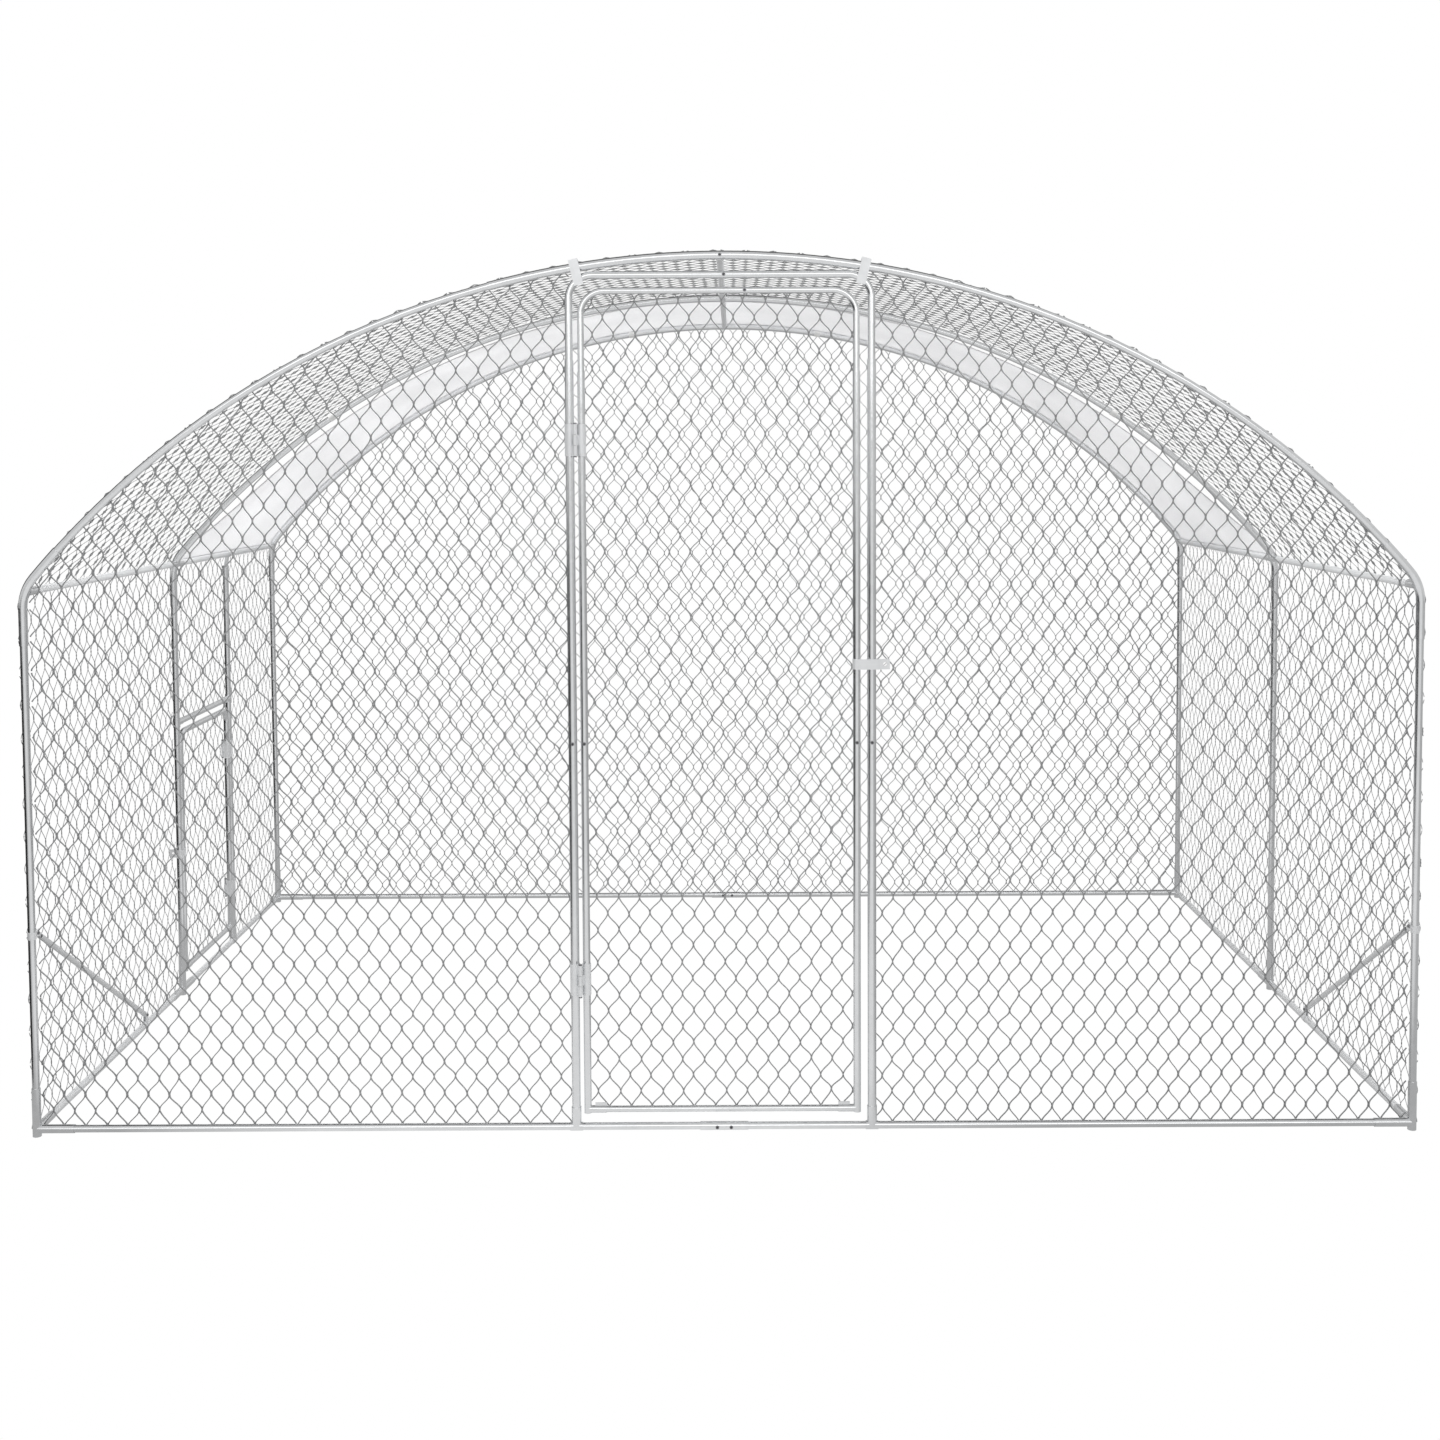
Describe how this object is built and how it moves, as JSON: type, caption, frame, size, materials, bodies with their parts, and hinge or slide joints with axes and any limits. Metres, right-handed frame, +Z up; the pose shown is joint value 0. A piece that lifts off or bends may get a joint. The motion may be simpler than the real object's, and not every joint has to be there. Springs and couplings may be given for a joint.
{
  "type": "walk-in poultry run",
  "caption": "Walk-in arched poultry run of galvanised tube hoops and hexagonal wire netting, with a hinged front door, a low side door and a sheet over the rear half of the roof.",
  "frame": {"origin": "on the ground, at the middle of the run's footprint", "axes": "+Z up, +X to the right seen from the front, -Y towards the viewer in front of the main door"},
  "size_m": [3.0192, 2.0333, 1.8996],
  "materials": {
    "galvanised_tube": "galvanised, satin",
    "galvanised_plate": "galvanised, pale",
    "galvanised_wire": "galvanised wire",
    "zinc_fasteners": "zinc plated",
    "cover_cloth": "coated woven sheet, matt",
    "tie_plastic": "moulded, pale"
  },
  "bodies": {
    "frame": {"front_legs": "galvanised_tube", "mid_legs": "galvanised_tube", "rear_legs": "galvanised_tube", "front_bends": "galvanised_tube", "mid_bends": "galvanised_tube", "rear_bends": "galvanised_tube", "front_side_arches": "galvanised_tube", "mid_side_arches": "galvanised_tube", "rear_side_arches": "galvanised_tube", "front_crown": "galvanised_tube", "mid_crown": "galvanised_tube", "rear_crown": "galvanised_tube", "eave_tubes": "galvanised_tube", "ridge_tubes": "galvanised_tube", "joint_sleeves": "galvanised_tube", "front_base_rails": "galvanised_tube", "rear_base_rails": "galvanised_tube", "side_base_rails": "galvanised_tube", "base_corners": "galvanised_tube", "base_tees": "galvanised_tube", "door_jambs": "galvanised_tube", "jamb_tees": "galvanised_tube", "door_header_bow": "galvanised_tube", "header_straps": "galvanised_plate", "corner_braces": "galvanised_tube", "brace_clamps": "galvanised_plate", "door_hinge_frame_leaves": "galvanised_plate", "door_hinge_pins": "zinc_fasteners", "door_latch_keeper": "galvanised_plate", "side_door_post": "galvanised_tube", "side_door_header": "galvanised_tube", "side_door_fittings": "galvanised_tube", "side_hinge_frame_leaves": "galvanised_plate", "side_hinge_pins": "zinc_fasteners", "side_latch_keeper": "galvanised_plate", "front_net_left": "galvanised_wire", "front_net_right": "galvanised_wire", "rear_net": "galvanised_wire", "left_net": "galvanised_wire", "right_net": "galvanised_wire", "roof_net_front": "galvanised_wire", "roof_cover": "cover_cloth", "cover_ties": "tie_plastic", "frame_screws": "zinc_fasteners"},
    "main_door": {"door_stiles": "galvanised_tube", "door_top_bow": "galvanised_tube", "door_elbows": "galvanised_tube", "door_bottom_rail": "galvanised_tube", "door_hinge_leaves": "galvanised_plate", "door_net": "galvanised_wire", "door_screws": "zinc_fasteners"},
    "main_latch": {"door_latch_hasp": "galvanised_plate"},
    "side_door": {"side_door_bow": "galvanised_tube", "side_door_elbows": "galvanised_tube", "side_door_bottom_rail": "galvanised_tube", "side_door_net": "galvanised_wire", "side_hinge_door_leaves": "galvanised_plate"},
    "side_latch": {"side_latch_hasp": "galvanised_plate"}
  },
  "joints": [
    {"name": "main_door_hinge", "type": "hinge", "parent": "frame", "child": "main_door", "pos_m": [-0.3075, -1.016, 0.92], "axis": [0, 0, -1], "range_deg": [0, 110]},
    {"name": "main_latch_swing", "type": "hinge", "parent": "main_door", "child": "main_latch", "pos_m": [0.288, -1, 1.02], "axis": [0, 0, -1], "range_deg": [0, 100]},
    {"name": "side_door_hinge", "type": "hinge", "parent": "frame", "child": "side_door", "pos_m": [-1.506, 0.4715, 0.39], "axis": [0, 0, -1], "range_deg": [0, 110]},
    {"name": "side_latch_swing", "type": "hinge", "parent": "side_door", "child": "side_latch", "pos_m": [-1.49, 0.025, 0.39], "axis": [0, 0, -1], "range_deg": [0, 90]}
  ]
}
